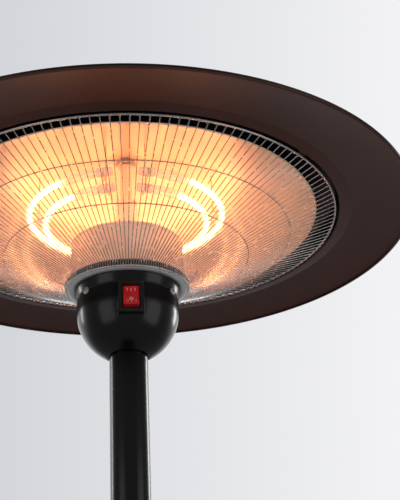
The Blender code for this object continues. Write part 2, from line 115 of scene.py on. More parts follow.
# Each outline point (radius, height) carried round the Z axis: x = r sin a, y = -r cos a
def turnedGrid(outline, segments):
    outline = np.asarray(outline, float)
    angle = np.linspace(0, 2 * math.pi, segments, endpoint=False)[:, None]
    radius, height = outline[:, 0][None], outline[:, 1][None]
    return np.stack([radius * np.sin(angle), -radius * np.cos(angle), height + 0 * angle], -1)


# A piece turned about the Z axis from a softened outline, then lifted to the rim or carried by `axis`
def turnedPiece(name, corners, look, stands=(), segments=128, lift=None, steps=4, axis=None, closed=True,
                **more):
    grid = turnedGrid(softOutline(corners, closed, steps), segments)
    grid[..., 2] += rim if lift is None else lift
    if axis is not None:
        grid = grid @ np.array(axis.to_3x3()).T + np.array(axis.translation)
    return makePiece(name, grid, gridFaces(*grid.shape[:2], True, closed), look, stands, **more)


# A round tube along a closed or open path in one plane: at each point a circle spans `across` and the
# direction square to it and to the path
def tubeGrid(path, across, radius, sides, closed=False):
    path = np.asarray(path, float)
    if closed:
        tangent = np.roll(path, -1, 0) - np.roll(path, 1, 0)
    else:
        tangent = np.gradient(path, axis=0)
    tangent /= np.linalg.norm(tangent, axis=-1, keepdims=True)
    across = np.broadcast_to(across, path.shape)
    other = np.cross(tangent, across)
    turn = np.linspace(0, 2 * math.pi, sides, endpoint=False)
    radius = np.broadcast_to(radius, path.shape[:1])[:, None, None]
    ring = np.cos(turn)[None, :, None] * across[:, None] + np.sin(turn)[None, :, None] * other[:, None]
    return path[:, None] + radius * ring


# Points round a level circle or arc, from the front: x = r sin a, y = -r cos a
def circlePath(radius, height, count, start=0.0, end=2 * math.pi, closed=True):
    angle = np.linspace(start, end, count, endpoint=not closed)
    return np.stack([radius * np.sin(angle), -radius * np.cos(angle), np.full(count, height)], -1)


slotOf = {entry["node"]: entry["material_slot"] for entry in frame["record"]["subparts"]}


# sRGB hex to linear colour
def hexColour(text):
    parts = [int(text[k:k + 2], 16) / 255 for k in (0, 2, 4)]
    return tuple(c / 12.92 if c <= 0.04045 else ((c + 0.055) / 1.055) ** 2.4 for c in parts) + (1.0,)


# Adds one node; inputs maps a socket name or number to a value, or to an output socket to link from
def addNode(tree, kind, inputs=None, **settings):
    node = tree.nodes.new(kind)
    for key, value in settings.items():
        setattr(node, key, value)
    for key, value in (inputs or {}).items():
        if isinstance(value, bpy.types.NodeSocket):
            tree.links.new(value, node.inputs[key])
        else:
            node.inputs[key].default_value = value
    return node


# A Principled material with uniform values on its own sockets, and a coordinate output to build patterns on
def startMaterial(name, colour, roughness, metallic=0.0, **sockets):
    material = bpy.data.materials.new(name)
    material.use_nodes = True
    tree = material.node_tree
    shader = tree.nodes["Principled BSDF"]
    shader.inputs["Base Color"].default_value = hexColour(colour)
    shader.inputs["Roughness"].default_value = roughness
    shader.inputs["Metallic"].default_value = metallic
    for key, value in sockets.items():
        shader.inputs[key.replace("_", " ")].default_value = value
    place = addNode(tree, "ShaderNodeTexCoord").outputs["Object"]
    return material, tree, shader, place


# Noise whose features are about `size` metres across
def noiseAt(tree, place, size, detail=3.0, roughness=0.55):
    return addNode(tree, "ShaderNodeTexNoise", {"Vector": place, "Scale": 1.0 / size, "Detail": detail,
                                               "Roughness": roughness}).outputs["Fac"]


# Maps a value from one range to another, held at both ends
def spread(tree, value, low, high, fromLow=0.3, fromHigh=0.7):
    return addNode(tree, "ShaderNodeMapRange", {"Value": value, "From Min": fromLow, "From Max": fromHigh,
                                               "To Min": low, "To Max": high}).outputs["Result"]


def bumpOf(tree, height, strength, distance):
    return addNode(tree, "ShaderNodeBump", {"Height": height, "Strength": strength,
                                            "Distance": distance}).outputs["Normal"]


def tintBetween(tree, factor, one, two):
    return addNode(tree, "ShaderNodeMix", {0: factor, 6: hexColour(one), 7: hexColour(two)},
                   data_type="RGBA").outputs[2]


# Distance from the Z axis, for marks left by spinning or turning on a lathe
def lathePlace(tree, place):
    parts = addNode(tree, "ShaderNodeSeparateXYZ", {0: place})
    square = [addNode(tree, "ShaderNodeMath", {0: parts.outputs[k], 1: 2.0}, operation="POWER").outputs[0]
              for k in (0, 1)]
    total = addNode(tree, "ShaderNodeMath", {0: square[0], 1: square[1]}, operation="ADD").outputs[0]
    radius = addNode(tree, "ShaderNodeMath", {0: total}, operation="SQRT").outputs[0]
    return addNode(tree, "ShaderNodeCombineXYZ", {0: radius, 2: parts.outputs[2]}).outputs[0]


# Polyester powder coat over spun aluminium: black, satin, with fine orange peel about 0.9 mm across.
# The faces turned down are painted red-brown instead, a painted warm glow standing in for the lamps' light on
# the underside
def powderCoatLook():
    material, tree, shader, place = startMaterial("powderCoat", "553730", 0.32, 0.6)
    peel = noiseAt(tree, place, 0.9 * mm, 2.0)
    cloud = noiseAt(tree, place, 60 * mm, 3.0)
    tree.links.new(bumpOf(tree, peel, 0.25, 0.12 * mm), shader.inputs["Normal"])
    tree.links.new(spread(tree, cloud, 0.29, 0.36), shader.inputs["Roughness"])
    # Painted glow: faces whose normal points down take the red-brown, all other faces the black coat
    facing = addNode(tree, "ShaderNodeSeparateXYZ",
                     {0: addNode(tree, "ShaderNodeTexCoord").outputs["Normal"]})
    clearOfPaintedGlow = spread(tree, facing.outputs["Z"], 0.0, 1.0, -0.8, -0.4)
    coatWithPaintedGlow = addNode(tree, "ShaderNodeMix", {0: clearOfPaintedGlow, 6: tintBetween(tree, cloud, "5a362e", "623f36"),
                                            7: hexColour("1d1a1b")}, data_type="RGBA")
    tree.links.new(coatWithPaintedGlow.outputs[2], shader.inputs["Base Color"])
    return material


# Stoved gloss enamel on steel: deep black, a hard clear surface with slight waviness and a little dust
def glossEnamelLook():
    material, tree, shader, place = startMaterial("glossEnamel", "070708", 0.22)
    wave = noiseAt(tree, place, 14 * mm, 2.0)
    dust = noiseAt(tree, place, 1.1 * mm, 4.0, roughness=0.7)
    tree.links.new(bumpOf(tree, wave, 0.03, 1.0 * mm), shader.inputs["Normal"])
    tree.links.new(spread(tree, dust, 0.21, 0.30, 0.45, 0.8), shader.inputs["Roughness"])
    tree.links.new(tintBetween(tree, spread(tree, dust, 0.0, 1.0, 0.55, 0.85), "060607", "101010"),
                   shader.inputs["Base Color"])
    return material


# Bright rolled and spun aluminium: satin under a clear coat, with fine lathe lines and faint heat staining.
# Its warm peach tints are painted glow, standing in for the lamps' orange light on it
def brightAluminiumLook(name, roughness, metallic, line, glowTints):
    material, tree, shader, place = startMaterial(name, "ecd8c6", roughness, metallic, Coat_Weight=0.75,
                                                  Coat_Roughness=0.12)
    lathe = lathePlace(tree, place)
    lines = noiseAt(tree, lathe, line, 2.0)
    stain = noiseAt(tree, place, 45 * mm, 3.0)
    tree.links.new(bumpOf(tree, lines, 0.05, 0.05 * mm), shader.inputs["Normal"])
    tree.links.new(spread(tree, stain, roughness - 0.03, roughness + 0.06), shader.inputs["Roughness"])
    # Painted glow: both tints are warm peach, and the noise between them is the heat staining
    tree.links.new(tintBetween(tree, stain, glowTints[0], glowTints[1]), shader.inputs["Base Color"])
    return material


# Nickel-chrome plate on steel wire and pressings: from near mirror to satin, with a faint haze
def chromeLook(name="chromePlate", roughness=0.14, metallic=1.0):
    material, tree, shader, place = startMaterial(name, "e2e0e0", roughness, metallic)
    haze = noiseAt(tree, place, 6 * mm, 3.0)
    tree.links.new(spread(tree, haze, roughness - 0.05, roughness + 0.08), shader.inputs["Roughness"])
    tree.links.new(tintBetween(tree, haze, "dad8d8", "eae8e8"), shader.inputs["Base Color"])
    return material


# Zinc-plated steel: grey satin with the mottled bloom of passivated plate, patches about 4 mm
def zincLook():
    material, tree, shader, place = startMaterial("zincPlate", "b9bab9", 0.34, 1.0)
    bloom = noiseAt(tree, place, 4 * mm, 4.0)
    tree.links.new(spread(tree, bloom, 0.26, 0.46), shader.inputs["Roughness"])
    tree.links.new(tintBetween(tree, bloom, "a7a9a9", "c6c4bf"), shader.inputs["Base Color"])
    return material


# Lit tungsten coil: orange to white, a little dimmer at its supports each 14 mm, and dark along its leads
def litQuartzLook():
    material, tree, shader, place = startMaterial("litQuartz", "fff1dc", 0.08, Coat_Weight=0.5)
    parts = addNode(tree, "ShaderNodeSeparateXYZ", {0: place})
    frontward = addNode(tree, "ShaderNodeMath", {0: parts.outputs[1], 1: -1.0},
                        operation="MULTIPLY").outputs[0]
    angle = addNode(tree, "ShaderNodeMath", {0: parts.outputs[0], 1: frontward},
                    operation="ARCTAN2").outputs[0]
    turned = addNode(tree, "ShaderNodeMath", {0: angle, 1: -headTurn}, operation="ADD").outputs[0]
    fromFront = addNode(tree, "ShaderNodeMath", {0: turned}, operation="ABSOLUTE").outputs[0]
    beat = addNode(tree, "ShaderNodeMath", {0: angle, 1: 44.0}, operation="MULTIPLY").outputs[0]
    wave = addNode(tree, "ShaderNodeMath", {0: beat}, operation="SINE").outputs[0]
    coil = spread(tree, wave, lamps["strength"], 0.72 * lamps["strength"], 0.9, 1.0)
    lead = spread(tree, fromFront, 0.03, 1.0, math.radians(lamps["coldEnd"]),
                  math.radians(lamps["coldEnd"] + 5))
    glow = addNode(tree, "ShaderNodeMath", {0: coil, 1: lead}, operation="MULTIPLY").outputs[0]
    shader.inputs["Emission Color"].default_value = lamps["colour"]
    tree.links.new(glow, shader.inputs["Emission Strength"])
    return material


# Clear fused quartz: a polished tube wall, nearly invisible, with a faint haze from handling and heat
def clearQuartzLook():
    material, tree, shader, place = startMaterial("clearQuartz", "fff0e4", 0.06, Alpha=0.16)
    haze = noiseAt(tree, place, 8 * mm, 3.0)
    tree.links.new(spread(tree, haze, 0.10, 0.24), shader.inputs["Alpha"])
    return material


# Pinched and frosted ends of the tubes: off-white, chalky, finely speckled, letting half the light through
def steatiteLook():
    material, tree, shader, place = startMaterial("steatite", "f2e8de", 0.62, Alpha=0.45)
    speck = noiseAt(tree, place, 0.8 * mm, 4.0)
    tree.links.new(bumpOf(tree, speck, 0.2, 0.1 * mm), shader.inputs["Normal"])
    tree.links.new(tintBetween(tree, speck, "e8dccf", "f6eee4"), shader.inputs["Base Color"])
    return material


# Moulded nylon: satin black with a fine spark-eroded grain about 0.4 mm
def nylonLook():
    material, tree, shader, place = startMaterial("blackNylon", "121213", 0.36)
    grain = noiseAt(tree, place, 0.4 * mm, 2.0)
    tree.links.new(bumpOf(tree, grain, 0.15, 0.05 * mm), shader.inputs["Normal"])
    tree.links.new(spread(tree, grain, 0.30, 0.44), shader.inputs["Roughness"])
    return material


# Translucent red polycarbonate with a neon behind it: glossy, its glow varying in clouds about 7 mm across
def redRockerLook():
    material, tree, shader, place = startMaterial("redRocker", "b80e18", 0.16, Coat_Weight=0.3)
    cloud = noiseAt(tree, place, 7 * mm, 1.0)
    glow = spread(tree, cloud, rocker["glow"] * 0.6, rocker["glow"] * 1.3)
    shader.inputs["Emission Color"].default_value = hexColour("ff1420")
    tree.links.new(glow, shader.inputs["Emission Strength"])
    tree.links.new(tintBetween(tree, cloud, "860d14", "a0121b"), shader.inputs["Base Color"])
    return material


# Pad printed ink, white but reddened by the lit plastic round it
def whiteInkLook():
    material, tree, shader, place = startMaterial("whiteInk", "c9a0a0", 0.4)
    wear = noiseAt(tree, place, 0.7 * mm, 3.0)
    tree.links.new(tintBetween(tree, wear, "b88888", "d6b4b4"), shader.inputs["Base Color"])
    return material


# Sand-cast iron: dark, rough, with 1.5 mm casting grain
def castIronLook():
    material, tree, shader, place = startMaterial("castIron", "3a3a3b", 0.75, 0.7)
    grain = noiseAt(tree, place, 1.5 * mm, 5.0)
    tree.links.new(bumpOf(tree, grain, 0.6, 0.4 * mm), shader.inputs["Normal"])
    tree.links.new(tintBetween(tree, grain, "2c2c2d", "454544"), shader.inputs["Base Color"])
    return material


# Moulded rubber: matt black with a light bloom
def rubberLook():
    material, tree, shader, place = startMaterial("blackRubber", "1b1b1b", 0.85)
    bloom = noiseAt(tree, place, 3 * mm, 4.0)
    tree.links.new(bumpOf(tree, bloom, 0.2, 0.1 * mm), shader.inputs["Normal"])
    tree.links.new(tintBetween(tree, bloom, "171717", "242322"), shader.inputs["Base Color"])
    return material


# Turned brass: yellow, with a mottled tarnish about 2 mm across
def brassLook():
    material, tree, shader, place = startMaterial("turnedBrass", "c9a45c", 0.28, 1.0)
    tarnish = noiseAt(tree, place, 2 * mm, 3.0)
    tree.links.new(tintBetween(tree, tarnish, "b98f48", "d6b46e"), shader.inputs["Base Color"])
    return material


# outer and inner: radius of the circle, height over the rim, half of the open angle in degrees
lamps = {"tube": 0.005, "outer": (0.100, 0.016, 16.5), "inner": (0.0835, 0.007, 18.0), "ferrule": 0.016,
         "coil": 0.0027, "lead": 0.0007, "coldEnd": 36,
         "strength": 17.0, "colour": (1.0, 0.40, 0.15, 1.0)}
rocker = {"glow": 0.05, "half": 0.0076, "soft": 0.0005, "top": 0.0066, "middle": 0.0053, "end": 0.0105}

powderCoat = powderCoatLook()
glossEnamel = glossEnamelLook()
# The peach tints of the reflector and the drum are painted lamp glow
reflectorMetal = brightAluminiumLook("reflectorAluminium", 0.38, 0.28, 0.6 * mm, ("fddcbc", "fee8d6"))
drumMetal = brightAluminiumLook("drumAluminium", 0.20, 0.15, 0.5 * mm, ("f6d2b6", "fadfcb"))
chromePlate = chromeLook()
wireChrome = chromeLook("wireChrome", 0.22, 0.92)
trimSatin = chromeLook("trimSatin", 0.32, 0.6)
zincPlate = zincLook()
litQuartz = litQuartzLook()
clearQuartz = clearQuartzLook()
steatite = steatiteLook()
blackNylon = nylonLook()
redRocker = redRockerLook()
whiteInk = whiteInkLook()
castIron = castIronLook()
blackRubber = rubberLook()
turnedBrass = brassLook()
slotLook = {"black_powder_coat": powderCoat, "black_gloss_enamel": glossEnamel,
            "polished_aluminium": drumMetal, "chrome_plate": chromePlate, "zinc_plated_steel": zincPlate,
            "lit_quartz": litQuartz, "steatite_ceramic": steatite, "black_nylon": blackNylon,
            "red_rocker": redRocker, "cast_iron": castIron, "black_rubber": blackRubber, "brass": turnedBrass}
for name, node in nodes.items():
    node.data.materials.clear()
    hidden = name.startswith(("reflector_spacer", "guard_clip"))   # blackened with the hat's inside
    node.data.materials.append(powderCoat if hidden else slotLook[slotOf[name]])
print("materials ready")

hat = {"rim": 0.295, "sheet": 0.0012, "opening": 0.2203, "crown": 0.062}


# The pressed sheet's outline under and over: rolled edge, brim, step up round the opening, cone, flat crown
def buildHat():
    under = [(0.2916, 0.0004, 0.0005), (0.2335, 0.0064, 0.004), (0.2216, 0.0050, 0.0012),
             (hat["opening"], 0.0062, 0.0012),
             (hat["opening"], 0.0270, 0.006), (0.215, 0.0305, 0.006), (hat["crown"], 0.0986, 0.02),
             (0.0043, 0.0990, 0)]
    over = [(0.0043, 0.1002, 0), (0.0625, 0.0998, 0.02), (0.2157, 0.0317, 0.007), (0.2215, 0.0272, 0.007),
            (0.2215, 0.0070, 0.0008), (0.2222, 0.0064, 0.0008), (0.2337, 0.0077, 0.004),
            (0.2912, 0.0022, 0.002)]
    edge = [(0.2912, 0.0024, 0.0006), (hat["rim"], 0.0024, 0.0018), (hat["rim"], -0.0016, 0.0019),
            (0.2912, -0.0016, 0.0014)]
    turnedPiece("hat", under + over + edge, powderCoat, ("canopy",), 256)
    turnedPiece("hatSeal", [(0.014, 0.1005, 0.0004), (0.014, 0.1019, 0.0005), (0.0043, 0.1019, 0.0003),
                            (0.0043, 0.1005, 0.0003)], blackRubber, ("canopy_seal",), 64)
    turnedPiece("hatWasher", [(0.012, 0.1022, 0.0003), (0.012, 0.1037, 0.0004), (0.0043, 0.1037, 0.0003),
                              (0.0043, 0.1022, 0.0003)], zincPlate, ("canopy_washer",), 64)


# Hexagon radius at an angle: apothem over the cosine of the angle to the nearest flat
def hexRadius(angle, acrossFlats):
    sector = math.pi / 3
    return acrossFlats / 2 / np.cos((angle + sector / 2) % sector - sector / 2)


# Rows of (radii round the circle, height) as points about the Z axis, heights counted from the rim
def polarGrid(rows, angle):
    made = [np.stack([r * np.sin(angle), -r * np.cos(angle), 0 * angle + rim + z], -1) for r, z in rows]
    return np.stack(made, 0)


# Bolt: round shank, then a hexagon head whose top corners are cut back by a cone
def buildHatBolt():
    segments, flats = 96, 0.013
    angle = np.linspace(0, 2 * math.pi, segments, endpoint=False)
    hexagon = hexRadius(angle, flats)
    rows = [(0 * angle, 0.062), (0 * angle + 0.0033, 0.062), (0 * angle + 0.0039, 0.0632),
            (0 * angle + 0.0039, 0.1040), (hexagon * 0.985, 0.1040), (hexagon, 0.1043), (hexagon, 0.1086),
            (np.minimum(hexagon, flats / 2 * 1.04), 0.1094),
            (0 * angle + flats / 2 * 0.93, 0.1099), (0 * angle, 0.1099)]
    makePiece("hatBolt", polarGrid(rows, angle), gridFaces(len(rows), segments, False, True), zincPlate,
              ("canopy_bolt",), sharp=25)


buildHat()
buildHatBolt()

reflector = {"edge": 0.1965, "hole": 0.0066, "top": 0.0885, "slope": 0.071, "curve": 0.009, "sheet": 0.0009}


# Height of the dish's underside: top less slope and curve times the share of the edge radius
def dishHeight(radius):
    share = radius / reflector["edge"]
    return reflector["top"] - reflector["slope"] * share - reflector["curve"] * share ** 2


def buildReflector():
    radii = np.linspace(reflector["edge"] - 0.0015, reflector["hole"], 40)
    under = [(r, dishHeight(r), 0) for r in radii]
    over = [(r, dishHeight(r) + reflector["sheet"], 0) for r in radii[::-1]]
    lip = [(0.1968, 0.0102, 0.0006), (0.1976, 0.0092, 0.0006), (0.1970, 0.0081, 0.0006)]
    turnedPiece("reflectorDish", under + over + lip, reflectorMetal, ("reflector",), 256)
    angle = np.linspace(0, 2 * math.pi, 96, endpoint=False)
    hexagon = hexRadius(angle, 0.019)
    bore = 0 * angle + 0.0063
    rows = [(bore, 0.0782), (hexagon * 0.94, 0.0780), (hexagon, 0.0788), (hexagon, 0.0826),
            (hexagon * 0.94, 0.0834), (bore, 0.0834)]
    makePiece("apexNut", polarGrid(rows, angle), gridFaces(len(rows), len(angle), True, True), zincPlate,
              ("reflector_nut",), sharp=25)


buildReflector()
print("hat and reflector built")


# Quartz ring: a round tube along a circle, its last 5 mm narrowed towards the pinch seal. Inside it the coil:
# a second, thinner tube on the same circle that narrows to a lead wire near the front
def buildLamps():
    count, sides = 200, 20
    for which in ("outer", "inner"):
        radius, height, openAngle = lamps[which]
        start = math.radians(openAngle)
        path = circlePath(radius, rim + height, count, headTurn + start, headTurn + 2 * math.pi - start,
                          closed=False)
        outward = path * (1, 1, 0)
        outward /= np.linalg.norm(outward, axis=-1, keepdims=True)
        along = np.linspace(0, 1, count) * radius * (2 * math.pi - 2 * start)
        fromEnd = np.minimum(along, along[-1] - along)
        swell = 0.62 + 0.38 * np.clip(fromEnd / 0.005, 0, 1) ** 0.5
        grid = tubeGrid(path, outward, lamps["tube"] * swell, sides)
        caps = [list(range(sides - 1, -1, -1)), list(range((count - 1) * sides, count * sides))]
        faces = [list(f) for f in gridFaces(count, sides, False, True)] + caps
        makePiece(f"tube{which.capitalize()}", grid, faces, clearQuartz, sharp=60)
        angle = np.linspace(start, 2 * math.pi - start, count)
        fromFront = np.degrees(np.minimum(angle, 2 * math.pi - angle))
        full = np.clip((fromFront - lamps["coldEnd"]) / 3, 0, 1)
        thick = lamps["lead"] + (lamps["coil"] - lamps["lead"]) * full * full * (3 - 2 * full)
        grid = tubeGrid(path, outward, thick, sides)
        makePiece(f"coil{which.capitalize()}", grid, faces, litQuartz, (f"lamp_{which}",), sharp=60)
        for side, sign in (("left", -1), ("right", 1)):
            out = lamps["ferrule"] / 2
            middle = Vector((sign * (radius * math.sin(start) - (out + 0.0003) * math.cos(start)),
                             -radius * math.cos(start) - (out + 0.0003) * math.sin(start), rim + height))
            frameOf = (Matrix.Rotation(headTurn, 4, "Z") @ Matrix.Translation(middle)
                       @ Matrix.Rotation(sign * start, 4, "Z") @ Matrix.Rotation(math.pi / 2, 4, "Y"))
            corners = [(0, -out, 0), (0.0040, -out, 0.0006), (0.0045, -out + 0.001, 0.0004),
                       (0.0045, out - 0.005, 0.0004),
                       (0.0038, out - 0.0044, 0.0003), (0.0038, out - 0.0034, 0.0003),
                       (0.0045, out - 0.003, 0.0004), (0.0045, out - 0.0006, 0.0006), (0, out, 0)]
            turnedPiece(f"ferrule{which.capitalize()}{side.capitalize()}", corners, steatite,
                        (f"lamp_ferrule_{which}_{side}",), 32, 0.0, 2, axis=frameOf, closed=False)


# turns: degrees from the lamps' gap to each clip
clip = {"wire": 0.0006, "clear": 0.0008,
        "turns": {"end_bracket_left": -12, "end_bracket_right": 12, "lamp_clip_1": 75, "lamp_clip_2": 180,
                  "lamp_clip_3": 285}}


# Spring-wire clips: a wire down from the dish between the tubes, then one hook out under the outer tube
# and one in under the inner
def buildClips():
    stem = (lamps["outer"][0] + lamps["inner"][0]) / 2
    under = lamps["tube"] + clip["clear"]
    outerRadius, outerHeight = lamps["outer"][:2]
    innerRadius, innerHeight = lamps["inner"][:2]
    corners = [(outerRadius + under, outerHeight + 0.001, 0),
               (outerRadius + under, outerHeight - under, 0.005),
               (stem, outerHeight - under, 0.001), (stem, dishHeight(stem) - clip["clear"], 0)]
    innerCorners = [(innerRadius - under, innerHeight + 0.001, 0),
                    (innerRadius - under, innerHeight - under, 0.005),
                    (stem, innerHeight - under, 0.001), (stem, outerHeight - under, 0)]
    sides = 10
    for node, degrees in clip["turns"].items():
        turn = math.radians(degrees) + headTurn
        points, faces = [], []
        for outline in (corners, innerCorners):
            path = softOutline(outline, closed=False, steps=6)
            flat = np.stack([path[:, 0], 0 * path[:, 0], path[:, 1] + rim], -1)
            tube = tubeGrid(flat, np.array([0.0, 1.0, 0.0]), clip["wire"], sides)
            base = len(points)
            x, y, z = tube[..., 0], tube[..., 1], tube[..., 2]
            turnedTube = np.stack([x * math.sin(turn) + y * math.cos(turn),
                                   -x * math.cos(turn) + y * math.sin(turn), z], -1)
            points += turnedTube.reshape(-1, 3).tolist()
            count = len(tube)
            faces += (gridFaces(count, sides, False, True) + base).tolist()
            faces += [list(range(base + sides - 1, base - 1, -1)),
                      list(range(base + (count - 1) * sides, base + count * sides))]
        makePiece(node.replace("_", " ").title().replace(" ", ""), points, faces, zincPlate, (node,),
                  sharp=70)


buildLamps()
buildClips()

drum = {"radius": 0.057, "sheet": 0.0009}


def buildMiddle():
    wall, sheet = drum["radius"], drum["sheet"]
    over = [(0.0588, -0.0600, 0.0003), (wall + 0.0004, -0.0570, 0.003), (wall, -0.0190, 0.001),
            (0.0583, -0.0180, 0.0009),
            (0.0583, -0.0164, 0.0009), (0.0565, -0.0152, 0.001), (0.0064, -0.0150, 0)]
    under = [(0.0064, -0.0159, 0), (0.0556, -0.0160, 0.001), (wall - sheet, -0.0176, 0.001),
             (wall - sheet + 0.0004, -0.0570, 0.003), (0.0579, -0.0600, 0.0003)]
    turnedPiece("drumShell", over + under, drumMetal, ("drum",), 192)
    turnedPiece("centrePost", [(0.014, -0.0660, 0.0004), (0.014, -0.0627, 0.0004), (0.006, -0.0627, 0.0004),
                               (0.006, 0.0894, 0.0004), (0.0042, 0.0894, 0.0003), (0.0042, -0.0660, 0.0003)],
                drumMetal, ("centre_post",), 64)
    turnedPiece("postSleeve", [(0.0115, -0.0147, 0.0004), (0.0115, 0.0340, 0.0008), (0.0064, 0.0340, 0.0004),
                               (0.0064, -0.0147, 0.0004)], drumMetal, ("post_sleeve",), 96)
    turnedPiece("hubPlate", [(0.0618, -0.0656, 0.0003), (0.0618, -0.0588, 0.0010), (0.0606, -0.0588, 0.0003),
                             (0.0606, -0.0603, 0.0003), (0.0066, -0.0603, 0.0002), (0.0066, -0.0623, 0.0002),
                             (0.0606, -0.0623, 0.0003), (0.0606, -0.0656, 0.0003)], glossEnamel,
                ("guard_hub",), 192)
    turnedPiece("trimRing", [(0.0626, -0.0657, 0.0003), (0.0628, -0.0666, 0.0005), (0.0602, -0.0668, 0.0005),
                             (0.0588, -0.0675, 0.0006), (0.0560, -0.0680, 0.0016), (0.0540, -0.0674, 0.0008),
                             (0.0534, -0.0668, 0.0003), (0.0500, -0.0668, 0.0004), (0.0500, -0.0626, 0.0003),
                             (0.0515, -0.0626, 0.0003), (0.0515, -0.0657, 0.0004)], trimSatin,
                ("trim_ring",), 192)


buildMiddle()

# path: radius, height, corner radius. hoops: radius, height, radius of the rod
guard = {"wires": 156, "wire": 0.00055,
         "path": [(0.2166, 0.0036, 0), (0.1686, -0.0137, 0.15), (0.1245, -0.0335, 0.25),
                  (0.0660, -0.0582, 0.004),
                  (0.0634, -0.0592, 0.0014), (0.0625, -0.0608, 0.0012), (0.0625, -0.0655, 0)],
         "hoops": [(0.1686, -0.0124, 0.00065), (0.1245, -0.0322, 0.00065), (0.2162, 0.0052, 0.0011)]}


# Every wire follows one outline in its own half plane, turned by an equal step; six sides, ends closed
def buildGuard():
    outline = softOutline(guard["path"], closed=False, steps=3)
    sides, count = 6, guard["wires"]
    flat = np.stack([outline[:, 0], 0 * outline[:, 0], outline[:, 1] + rim], -1)
    tube = tubeGrid(flat, np.array([0.0, 1.0, 0.0]), guard["wire"], sides)
    rows = len(tube)
    angle = (np.arange(count) + 0.5) * 2 * math.pi / count + headTurn
    x, y, z = tube[..., 0][None], tube[..., 1][None], tube[..., 2][None]
    sine, cosine = np.sin(angle)[:, None, None], np.cos(angle)[:, None, None]
    points = np.stack([x * sine + y * cosine, -x * cosine + y * sine, z + 0 * sine], -1)
    one = gridFaces(rows, sides, False, True)
    faces = []
    for k in range(count):
        base = k * rows * sides
        faces += (one + base).tolist()
        faces.append(list(range(base + sides - 1, base - 1, -1)))
        faces.append(list(range(base + (rows - 1) * sides, base + rows * sides)))
    makePiece("guardWires", points, faces, wireChrome, ("guard",), sharp=70)
    for number, (radius, height, thick) in enumerate(guard["hoops"], 1):
        path = circlePath(radius, rim + height, 240)
        outward = path * (1, 1, 0) / radius
        grid = tubeGrid(path, outward, thick, 12, closed=True)
        makePiece(f"guardHoop{number}", grid, gridFaces(240, 12, True, True), wireChrome, sharp=70)


buildGuard()
print("lamps, drum and guard built")

# Heights count from the rim; sphere is the middle of the ball that the lower half follows
bowl = {"radius": 0.051, "wall": 0.002, "sphere": -0.091, "mouth": 0.0218, "bore": 0.0195,
        "bossHalf": (0.0112, 0.0144), "bossFace": 0.0517, "blend": 0.0012}
switchHeight = rim - 0.0947


# Turned bowl, then its front pushed out to a flat boss: inside a rounded rectangle each point slides along y
# to the boss plane, easing over a few millimetres at the edge
def buildBowl():
    radius, inner = bowl["radius"], bowl["radius"] - bowl["wall"]
    end = math.acos(bowl["mouth"] / radius)
    innerEnd = math.acos(bowl["bore"] / inner)
    arcOut = [(radius * math.cos(a), bowl["sphere"] - radius * math.sin(a)) for a in np.linspace(0, end, 60)]
    arcIn = [(inner * math.cos(a), bowl["sphere"] - inner * math.sin(a))
             for a in np.linspace(innerEnd, 0, 24)]
    floor = arcOut[-1][1]
    wallSteps = [(radius, z) for z in np.linspace(-0.0775, -0.0905, 14)]
    collar = softOutline([(0.0529, -0.0673, 0), (0.0510, -0.0752, 0.0008), (0.0506, -0.0762, 0.0006),
                          (radius, -0.0772, 0)], closed=False)
    outline = np.array([tuple(p) for p in collar[:-1]] + wallSteps + arcOut + [(bowl["bore"], floor)] + arcIn
                       + [(inner, -0.0760), (0.0509, -0.0672)])
    grid = turnedGrid(outline, 384)
    grid[..., 2] += rim
    outer = np.arange(len(outline)) < len(collar) - 1 + len(wallSteps) + len(arcOut)
    halfWide, halfTall = bowl["bossHalf"]
    away = np.maximum(np.abs(grid[..., 0]) - halfWide, np.abs(grid[..., 2] - switchHeight) - halfTall)
    share = np.clip(1 - away / bowl["blend"], 0, 1)
    share = share * share * (3 - 2 * share)
    pushed = np.minimum(grid[..., 1], -bowl["bossFace"])
    onFront = (grid[..., 1] < -0.03) & outer[None]
    grid[..., 1] = np.where(onFront, grid[..., 1] + share * (pushed - grid[..., 1]), grid[..., 1])
    makePiece("bowlShell", grid, gridFaces(*grid.shape[:2], True, True), glossEnamel, ("bowl",), sharp=50)


screw = {"turns": (54.5, 180, 305.5), "seat": 0.0514, "height": -0.079, "head": 0.0038, "dome": 0.0022,
         "shank": 0.0020, "length": 0.008, "arm": 0.0005, "reach": 0.0024, "recess": 0.0011}


# Screw head: a dome over the polar grid with a cross recess pressed in, the cross being two soft-edged slots
def buildBowlScrews():
    for number, turn in enumerate(screw["turns"], 1):
        rings, segments = 22, 96
        share = np.linspace(0, 1, rings)[:, None]
        angle = np.linspace(0, 2 * math.pi, segments, endpoint=False)[None]
        across = share * screw["head"]
        x, y = across * np.cos(angle), across * np.sin(angle)
        dome = screw["dome"] * np.sqrt(np.clip(1 - (share * 0.96) ** 2, 0, 1))
        arm = np.minimum(np.abs(x), np.abs(y)) / screw["arm"]
        slot = np.clip(1.6 - arm, 0, 1) * np.clip((screw["reach"] - across) / 0.0004, 0, 1)
        z = dome - screw["recess"] * slot
        side = [(screw["head"], 0.0), (screw["shank"], 0.0), (screw["shank"], -screw["length"]),
                (0.0, -screw["length"])]
        rows = [np.stack([x[k], y[k], z[k]], -1) for k in range(rings)]
        rows += [np.stack([r * np.cos(angle[0]), r * np.sin(angle[0]), 0 * angle[0] + h], -1)
                 for r, h in side]
        grid = np.stack(rows, 0)
        direction = math.radians(turn)
        seat = screw["seat"]
        place = (Matrix.Translation((seat * math.sin(direction), -seat * math.cos(direction),
                                     rim + screw["height"]))
                 @ Matrix.Rotation(direction - math.pi / 2, 4, "Z") @ Matrix.Rotation(math.pi / 2, 4, "Y"))
        grid = grid @ np.array(place.to_3x3()).T + np.array(place.translation)
        makePiece(f"bowlScrew{number}", grid, gridFaces(len(rows), segments, False, True), zincPlate,
                  (f"bowl_screw_{number}",), sharp=40)


buildBowl()
buildBowlScrews()

switch = {"face": 0.0539, "skirt": 0.0470, "half": (0.0125, 0.0157), "window": (0.0081, 0.0121),
          "pivot": 0.0477, "tilt": 11.0}


